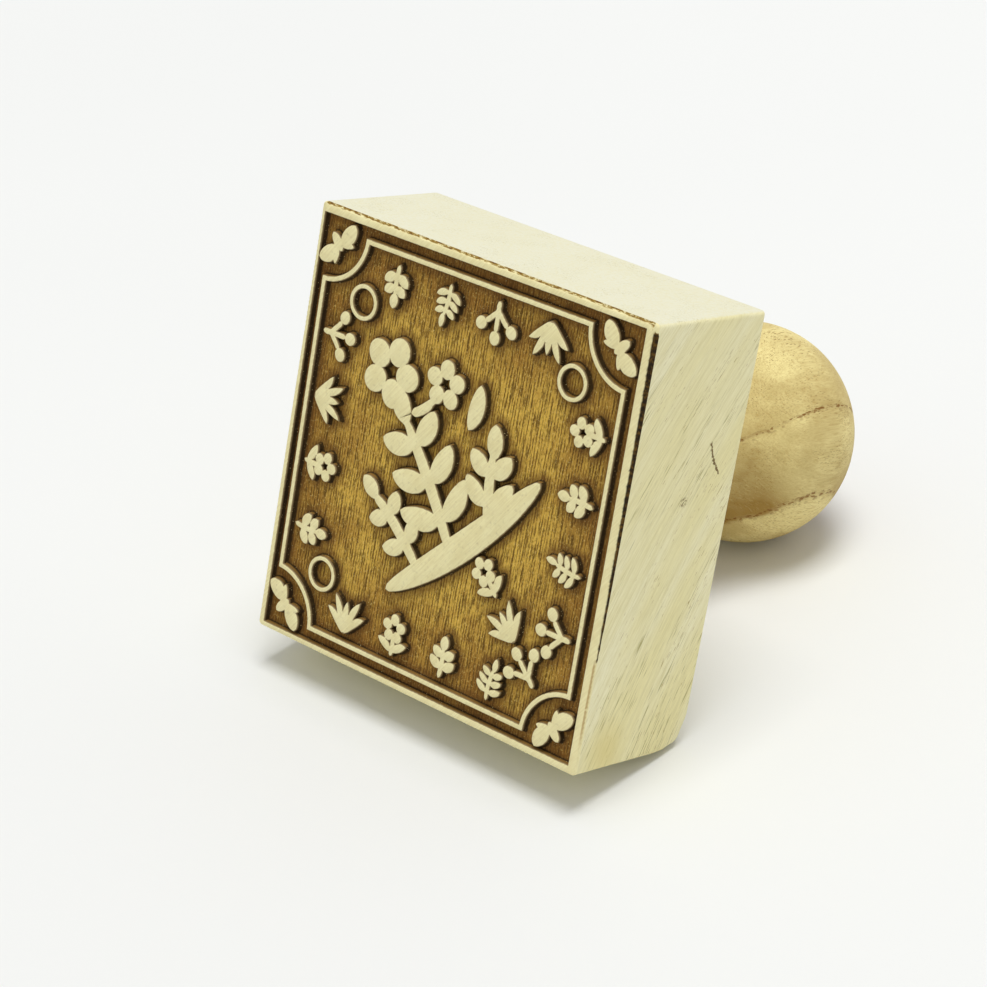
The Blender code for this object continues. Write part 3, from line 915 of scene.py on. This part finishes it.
def bare_wood(nodes, place):
    """The block's unburnt colour, and its height: fibres and dashes, but a smooth face."""
    u, v, w = nodes.split(place)
    lean = nodes.times(nodes.math("POWER", nodes.minus(HALF_HEIGHT, v), 2.0), FIBRE_LEAN)
    fibre = nodes.along(nodes.join(u, v, nodes.minus(w, lean)), BLOCK_FIBRE)
    on_top = nodes.span(v, 0.25 - HALF_HEIGHT, 0.02 - HALF_HEIGHT)
    in_front = nodes.span(w, 0.5, 0.3)
    calm = nodes.most(nodes.times(on_top, 0.4), nodes.span(w, 0.6, 0.3, 0.0, 0.88))
    strength = nodes.rest(calm)

    # Soft bands, then streaks and fine fibres along the grain
    bands = nodes.noise(fibre, (0.16, 0.16, 0.02), detail=3)
    bare = nodes.mix(nodes.span(bands, 0.3, 0.7), WOOD_PALE, WOOD_WARM)
    # Painted highlight: the top side is mixed towards a paler tone, partly end grain and partly
    # painted highlight
    bare = nodes.mix(nodes.times(on_top, 0.8), bare, WOOD_TOP_GRAIN_AND_PAINTED_HIGHLIGHT)
    streaks = nodes.noise(fibre, (2.2, 2.2, 0.11), detail=4, roughness=0.65)
    fibres = nodes.noise(fibre, (9.0, 9.0, 0.6), detail=4, roughness=0.65)
    for share in (nodes.span(streaks, 0.42, 0.7, 0.0, 0.6),
                  nodes.span(fibres, 0.35, 0.7, 0.0, 0.5)):
        bare = nodes.mix(nodes.times(share, strength), bare, WOOD_STREAK)

    # Grey threads in bundles, and short pore dashes that are more crowded towards the back
    threads = nodes.noise(fibre, (4.5, 4.5, 0.14), roughness=0.6)
    bundle = nodes.noise(fibre, (0.22, 0.22, 0.03), detail=1)
    thread = nodes.times(nodes.span(threads, 0.56, 0.7), nodes.span(bundle, 0.48, 0.62, 0.1, 0.9))
    bare = nodes.mix(nodes.times(thread, strength), bare, WOOD_GREY)
    dashes = nodes.noise(fibre, (6.5, 6.5, 0.75), detail=1)
    crowd = nodes.noise(fibre, (0.25, 0.25, 0.12), detail=1)
    limit = nodes.minus(nodes.span(crowd, 0.4, 0.62, 0.81, 0.71), nodes.times(w, 0.003))
    dash = nodes.times(nodes.span(nodes.minus(dashes, limit), 0.0, 0.05),
                       nodes.rest(nodes.times(on_top, 0.85)))
    bare = nodes.mix(nodes.times(dash, 0.7), bare, WOOD_DASH)

    # The sanded face
    sanded = nodes.noise(nodes.along(place, SANDING), (5.0, 5.0, 0.25), detail=3, roughness=0.65)
    soft = nodes.times(nodes.noise(place, 0.35), 0.5)
    shaded = nodes.span(nodes.plus(sanded, soft), 0.55, 0.95, 0.0, 0.75)
    bare = nodes.mix(in_front, bare, nodes.mix(shaded, FACE_TONE, FACE_SHADE))

    # Marks on the right side
    crack, knot, stain = side_marks(nodes, u, v, w)
    bare = nodes.mix(nodes.times(stain, 0.6), bare, WOOD_STAIN)
    dots = nodes.span(nodes.noise(place, 3.2), 0.45, 0.6, 0.1, 0.9)
    bare = nodes.mix(nodes.times(knot, dots), bare, MARK_TONE)
    bare = nodes.mix(nodes.times(crack, 0.9), bare, MARK_TONE)
    bare = nodes.mix(nodes.times(hairline(nodes, place), 0.6), bare, GROUND_BROWN)
    height = nodes.plus(nodes.times(fibres, 0.25), nodes.times(dash, -0.3))
    return bare, nodes.times(height, nodes.rest(in_front)), crack


def engraved_ground(nodes, place):
    """The ground: golden in the middle of the face, browner towards its rim, lined by the beam."""
    u, v, w = nodes.split(place)
    edge = nodes.most(nodes.over(nodes.math("ABSOLUTE", u), HALF_WIDTH),
                      nodes.over(nodes.math("ABSOLUTE", v), HALF_HEIGHT))
    clouds = nodes.noise(place, 0.14, detail=4, roughness=0.6)
    toward_rim = nodes.plus(edge, nodes.swing(clouds, 1.1))
    ground = nodes.mix(nodes.span(toward_rim, 0.35, 1.05), GROUND_GOLD, GROUND_BROWN)
    blotches = nodes.noise(place, 0.8, detail=3, roughness=0.6)
    ground = nodes.mix(nodes.span(blotches, 0.4, 0.75, 0.0, 0.55), ground, GROUND_BROWN)

    # The beam's lines, which drift a little and are broken, and grains between them
    drift = nodes.noise(place, (0.5, 0.06, 0.0))
    across = nodes.plus(nodes.over(u, RASTER_PITCH), nodes.times(drift, 1.5))
    line = nodes.math("PINGPONG", across, 0.5)
    broken = nodes.noise(place, (1.8, 0.35, 0.0), detail=3, roughness=0.7)
    lined = nodes.times(nodes.span(line, 0.22, 0.42), nodes.span(broken, 0.42, 0.56, 0.1, 0.9))
    ground = nodes.mix(lined, ground, GROUND_LINE)
    torn = nodes.noise(place, (2.9, 0.3, 0.0), detail=3, roughness=0.75)
    ground = nodes.mix(nodes.span(torn, 0.51, 0.59, 0.0, 0.75), ground, GROUND_LINE)
    grains = nodes.noise(place, (4.0, 2.2, 0.0), roughness=0.7)
    ground = nodes.mix(nodes.span(grains, 0.56, 0.7, 0.0, 0.65), ground, GROUND_LIGHT)
    return nodes.mix(nodes.span(grains, 0.45, 0.36, 0.0, 0.4), ground, GROUND_LINE)


def scorched_and_shaded(nodes, place, bare, ground):
    """Bare wood and ground with burnt walls and lips between them, painted light and shade on the
    walls, painted shade on the ground beside them, and the burnt edge steps.
    """
    v = nodes.split(place)[1]
    near = nodes.attribute("wall_distance")

    # The ground beside the walls is browned by scorch and by painted shade; walls that face up the
    # stamp, towards the lamp, get a painted lit tone, and the other walls and their foot a dark
    # tone that is soot and painted shade
    ragged = nodes.noise(place, (5.0, 1.5, 5.0), detail=3, roughness=0.6)
    reach = nodes.plus(near, nodes.swing(ragged, 0.35))
    ground = nodes.mix(nodes.span(reach, *BROWNED_AND_SHADED_REACH, 0.0, 0.62), ground, SCORCH_AND_PAINTED_SHADE_BROWN)
    facing = nodes.split(nodes.add("ShaderNodeTexCoord", {}).outputs["Normal"])
    wall_painted_light_and_soot = nodes.mix(nodes.span(facing[1], -0.97, -0.72), WALL_LIT, SCORCH_AND_PAINTED_SHADE_DARK)
    ground = nodes.mix(nodes.times(nodes.span(reach, *SOOT_AND_SHADE_REACH), 0.9), ground, wall_painted_light_and_soot)
    specks = nodes.noise(place, 5.5, detail=1)
    ground = nodes.mix(nodes.span(specks, 0.71, 0.75, 0.0, 0.8), ground, DUST)
    uneven = nodes.noise(place, 1.7, detail=3, roughness=0.6)
    lip = nodes.span(nodes.plus(near, nodes.swing(uneven, 0.15)), -0.1, 0.01)
    colour = nodes.mix(nodes.times(lip, 0.8), bare, SCORCH_AND_PAINTED_SHADE_BROWN)
    colour = nodes.mix(nodes.span(near, 0.0, 0.05), colour, ground)

    # The edge steps: patchy brown along the top, dark along the right
    at_top = nodes.span(v, 1.6 - HALF_HEIGHT, 1.0 - HALF_HEIGHT)
    patchy = nodes.noise(place, (1.1, 3.0, 3.0), detail=3, roughness=0.7)
    gap = nodes.times(at_top, nodes.span(patchy, 0.54, 0.42, 0.0, 0.8))
    burnt = nodes.times(nodes.attribute("edge_scorch"), nodes.rest(gap))
    top_tone = nodes.mix(nodes.span(patchy, 0.5, 0.66), WOOD_DASH, SCORCH_AND_PAINTED_SHADE_BROWN)
    side_tone = nodes.mix(nodes.span(uneven, 0.4, 0.7), SCORCH_AND_PAINTED_SHADE_DARK, MARK_TONE)
    burn_tone = nodes.mix(at_top, side_tone, top_tone)
    return nodes.mix(nodes.span(burnt, 0.03, 0.5), colour, burn_tone)


def block_material():
    nodes = Nodes("pale_wood")
    place = nodes.place()
    bare, relief, crack = bare_wood(nodes, place)
    colour = scorched_and_shaded(nodes, place, bare, engraved_ground(nodes, place))
    near = nodes.attribute("wall_distance")
    engraved = nodes.span(near, 0.0, 0.1)
    grit = nodes.noise(place, (7.0, 2.5, 7.0), detail=3, roughness=0.7)
    height = nodes.plus(nodes.times(relief, nodes.rest(engraved)),
                        nodes.times(nodes.times(grit, 3.5), engraved))
    height = nodes.minus(height, nodes.times(crack, 1.5))
    roughness = nodes.span(near, 0.0, 0.1, 0.55, 0.85)
    return nodes.finish(colour, roughness, nodes.bump(height, WOOD_BUMP), WOOD_GLOSS)


def handle_material():
    nodes = Nodes("tan_wood")
    place = nodes.place()
    u, v, w = nodes.split(place)

    # Places in the tree: around the pith, outward from it, and along the handle
    from_u = nodes.minus(u, RING_PITH[0])
    from_v = nodes.minus(v, RING_PITH[1])
    radius = nodes.length(from_u, from_v)
    around = nodes.times(nodes.math("ARCTAN2", from_v, from_u), RING_MIDDLE)
    tree = nodes.join(around, radius, w)
    sway = nodes.noise(place, (0.12, 0.12, 0.04))
    jitter = nodes.noise(place, 1.1)
    ring_place = nodes.plus(nodes.plus(radius, nodes.swing(sway, 1.6)), nodes.swing(jitter, 0.5))
    ring_place = nodes.most(ring_place, INNER_RING)
    phase = nodes.math("FRACT", nodes.over(nodes.minus(ring_place, RING_START), RING_GAP))

    # Tone: darker towards each ring of pores and in clouds, darker on the low side as painted
    # shade, and the ring and low-side darkening fainter on the ball's right as painted light
    rising = nodes.span(phase, 0.3, 0.98, 0.0, 0.34)
    falling = nodes.span(phase, 0.12, 0.0, 0.0, 0.22)
    painted_low_shade = nodes.times(nodes.span(v, -10.0, 7.0, 0.0, 0.62),
                           nodes.span(ring_place, OUTER_RING + 0.8, OUTER_RING + 0.2, 0.3, 1.0))
    late_wood_and_painted_shade = nodes.times(nodes.plus(nodes.most(rising, falling), painted_low_shade),
                       nodes.span(u, 11.5, 15.5, 1.0, 0.3))
    clouds = nodes.noise(place, (0.13, 0.13, 0.07), detail=3, roughness=0.6)
    shade = nodes.plus(late_wood_and_painted_shade, nodes.span(clouds, 0.38, 0.66, 0.0, 0.4))
    colour = nodes.mix(shade, HANDLE_LIGHT, HANDLE_DARK)
    grain = nodes.noise(place, (5.0, 5.0, 0.3), detail=4, roughness=0.7)
    colour = nodes.mix(nodes.span(grain, 0.35, 0.75, 0.0, 0.4), colour, HANDLE_GRAIN)

    # Rays: fine ribbons that run outward from the pith
    rays = nodes.noise(tree, (6.5, 1.5, 0.6), roughness=0.6)
    coarse = nodes.noise(place, (0.16, 0.16, 0.1))
    open_grain = nodes.span(coarse, 0.38, 0.6, 0.35, 1.0)
    ray = nodes.times(nodes.span(rays, 0.54, 0.66), open_grain)
    colour = nodes.mix(nodes.times(ray, 0.35), colour, HANDLE_GRAIN)
    pale = nodes.times(nodes.span(rays, 0.44, 0.34), open_grain)
    colour = nodes.mix(nodes.times(pale, 0.15), colour, HANDLE_LIGHT)

    # Pores: fine tubes along the handle, crowded in a narrow band where each ring starts
    crowded = nodes.times(nodes.span(phase, 0.0, 0.01), nodes.span(phase, 0.07, 0.03))
    fewer = nodes.span(u, 2.0, 12.0, 0.0, 0.13)
    width = nodes.minus(nodes.plus(nodes.times(crowded, 0.26),
                                   nodes.span(coarse, 0.35, 0.6, 0.15, 0.27)), fewer)
    big = nodes.span(nodes.minus(width, nodes.cells(tree, (2.6, 2.6, 0.6))), -0.02, 0.08)
    fine_width = nodes.span(coarse, 0.35, 0.65, 0.14, 0.36)
    fine = nodes.span(nodes.minus(fine_width, nodes.cells(tree, (4.4, 3.4, 1.1))), 0.0, 0.12)
    pore = nodes.most(big, nodes.times(fine, 0.4))
    colour = nodes.mix(nodes.times(pore, 0.8), colour, HANDLE_PORE)

    # A dark dotted line along each ring
    near_ring = nodes.times(nodes.span(phase, 0.0, 0.012), nodes.span(phase, 0.12, 0.02))
    dots = nodes.times(nodes.span(nodes.cells(tree, (1.5, 1.8, 0.9)), 0.44, 0.28), near_ring)
    line = nodes.times(crowded, nodes.span(jitter, 0.4, 0.6, 0.1, 0.5))
    colour = nodes.mix(nodes.times(nodes.most(dots, line), 0.75), colour, HANDLE_RING)

    height = nodes.plus(nodes.times(pore, -0.9), nodes.times(ray, -0.4))
    height = nodes.plus(height, nodes.times(grain, 0.15))
    roughness = nodes.span(grain, 0.3, 0.7, 0.6, 0.72)
    return nodes.finish(colour, roughness, nodes.bump(height, WOOD_BUMP), WOOD_GLOSS)


def screw_material():
    nodes = Nodes("plain_steel")
    place = nodes.place()
    wear = nodes.noise(place, 0.9, detail=4, roughness=0.6)
    lines = nodes.noise(place, (3.0, 3.0, 14.0))
    colour = nodes.mix(nodes.span(wear, 0.3, 0.7), STEEL_LIGHT, STEEL_DARK)
    nodes.feed(nodes.shader.inputs["Metallic"], 1.0)
    return nodes.finish(colour, nodes.span(lines, 0.3, 0.7, 0.28, 0.42),
                        nodes.bump(lines, FINE_BUMP))


def floor_material():
    nodes = Nodes("pale_floor")
    place = nodes.place()
    cloud = nodes.noise(place, 0.004, detail=3)
    grit = nodes.noise(place, 1.2)
    colour = nodes.mix(nodes.span(cloud, 0.3, 0.7), FLOOR_TONE, FLOOR_OTHER)
    return nodes.finish(colour, nodes.span(grit, 0.3, 0.7, 0.75, 0.85),
                        nodes.bump(grit, FINE_BUMP, 0.3))


# ---- Table, light and camera ----

def make_floor():
    data = bpy.data.meshes.new("floor")
    half = FLOOR_SIZE / 2
    corners = [(-half, -half, 0), (half, -half, 0), (half, half, 0), (-half, half, 0)]
    data.from_pydata(corners, [], [(0, 1, 2, 3)])
    data.materials.append(floor_material())
    floor = bpy.data.objects.new("floor", data)
    bpy.context.scene.collection.objects.link(floor)


def make_light():
    world = bpy.data.worlds.new("soft_sky")
    world.use_nodes = True
    tree = world.node_tree
    sky = tree.nodes["Background"]
    sky.inputs["Color"].default_value = SKY_TONE
    where = tree.nodes.new("ShaderNodeTexCoord")
    parts = tree.nodes.new("ShaderNodeSeparateXYZ")
    fade = tree.nodes.new("ShaderNodeMapRange")
    fade.inputs["To Min"].default_value = SKY_LOW
    fade.inputs["To Max"].default_value = SKY_HIGH
    tree.links.new(where.outputs["Generated"], parts.inputs[0])
    tree.links.new(parts.outputs["Z"], fade.inputs["Value"])
    tree.links.new(fade.outputs[0], sky.inputs["Strength"])
    bpy.context.scene.world = world
    light = bpy.data.lights.new("overhead", "AREA")
    light.shape = "RECTANGLE"
    light.size, light.size_y = LAMP_SIZE
    light.energy = LAMP_POWER
    light.color = LAMP_TONE
    lamp = bpy.data.objects.new("overhead", light)
    lamp.location = LAMP_PLACE
    bpy.context.scene.collection.objects.link(lamp)


def make_camera():
    azimuth, elevation = math.radians(CAMERA_AZIMUTH), math.radians(CAMERA_ELEVATION)
    away = Vector((math.sin(azimuth) * math.cos(elevation),
                   -math.cos(azimuth) * math.cos(elevation), math.sin(elevation)))
    lens = bpy.data.cameras.new("camera")
    lens.lens = CAMERA_LENS
    camera = bpy.data.objects.new("camera", lens)
    camera.location = (Vector(CAMERA_AIM) + away * CAMERA_DISTANCE) * MM
    roll = Euler((0, 0, math.radians(CAMERA_ROLL))).to_quaternion()
    camera.rotation_euler = ((-away).to_track_quat("-Z", "Y") @ roll).to_euler()
    bpy.context.scene.collection.objects.link(camera)
    bpy.context.scene.camera = camera


def main():
    bpy.context.scene.view_settings.view_transform = "Standard"
    block = make_block(block_material())
    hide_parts("stamp_block")
    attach(block, "root")
    handle = make_handle(handle_material())
    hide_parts("handle")
    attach(handle, "root")
    screw = frame["nodes"]["dowel_screw"]
    screw.data.materials.clear()
    screw.data.materials.append(screw_material())
    make_floor()
    make_light()
    make_camera()


main()
